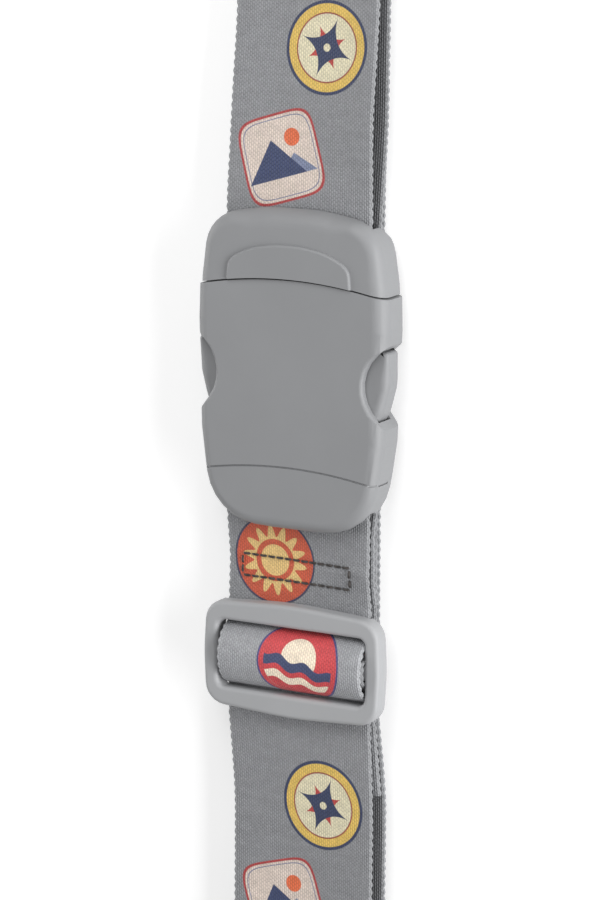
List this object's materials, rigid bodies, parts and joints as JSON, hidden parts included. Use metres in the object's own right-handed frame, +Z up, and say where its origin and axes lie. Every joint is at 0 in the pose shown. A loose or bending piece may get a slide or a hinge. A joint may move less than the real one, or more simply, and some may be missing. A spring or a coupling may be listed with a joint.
{
  "type": "luggage strap",
  "caption": "Woven luggage strap in a flattened doubled loop, with a side-release buckle that unclips and a slide adjuster that sets its length.",
  "frame": {"origin": "middle of the flattened loop, on the table under it", "axes": "+X across the webbing, +Y along it towards the male half, +Z up through the buckle's front"},
  "size_m": [0.066, 0.504, 0.0173],
  "materials": {
    "webbing": "plain-woven polyester, mid grey, with printed travel badges",
    "buckle_plastic": "moulded grey plastic with a fine spark-eroded texture",
    "adjuster_plastic": "moulded light grey plastic",
    "thread": "dark grey-brown polyester thread"
  },
  "bodies": {
    "female_side": {"female_housing": "buckle_plastic", "webbing_sewn_end": "webbing", "webbing_lower_outer": "webbing", "webbing_lower_inner": "webbing", "webbing_lower_fold_outer": "webbing", "webbing_lower_fold_inner": "webbing", "webbing_back_outer": "webbing", "webbing_back_inner": "webbing", "buckle_stitching": "thread"},
    "male_side": {"male_housing": "buckle_plastic", "webbing_upper_fold_outer": "webbing", "webbing_upper_fold_inner": "webbing", "webbing_male_loop": "webbing"},
    "left_prong_arm": {"left_prong": "buckle_plastic"},
    "right_prong_arm": {"right_prong": "buckle_plastic"},
    "adjuster": {"adjuster_frame": "adjuster_plastic", "webbing_adjuster_pass": "webbing", "webbing_adjuster_end": "webbing", "adjuster_stitching": "thread"}
  },
  "joints": [
    {"name": "buckle_pull", "type": "slide", "parent": "female_side", "child": "male_side", "axis": [0, 1, 0], "range_m": [0, 0.058], "deforming": ["left_prong", "right_prong"]},
    {"name": "left_prong_squeeze", "type": "hinge", "parent": "male_side", "child": "left_prong_arm", "pos_m": [-0.02625, 0.0562, 0.01], "axis": [0, 0, 1], "range_deg": [0, 11], "stiffness_Nm_per_rad": 1.5},
    {"name": "right_prong_squeeze", "type": "hinge", "parent": "male_side", "child": "right_prong_arm", "pos_m": [0.02625, 0.0562, 0.01], "axis": [0, 0, -1], "range_deg": [0, 11], "stiffness_Nm_per_rad": 1.5},
    {"name": "adjuster_slide", "type": "slide", "parent": "female_side", "child": "adjuster", "axis": [0, -1, 0], "range_m": [0, 0.08], "deforming": ["webbing_lower_outer", "webbing_lower_inner"]}
  ]
}
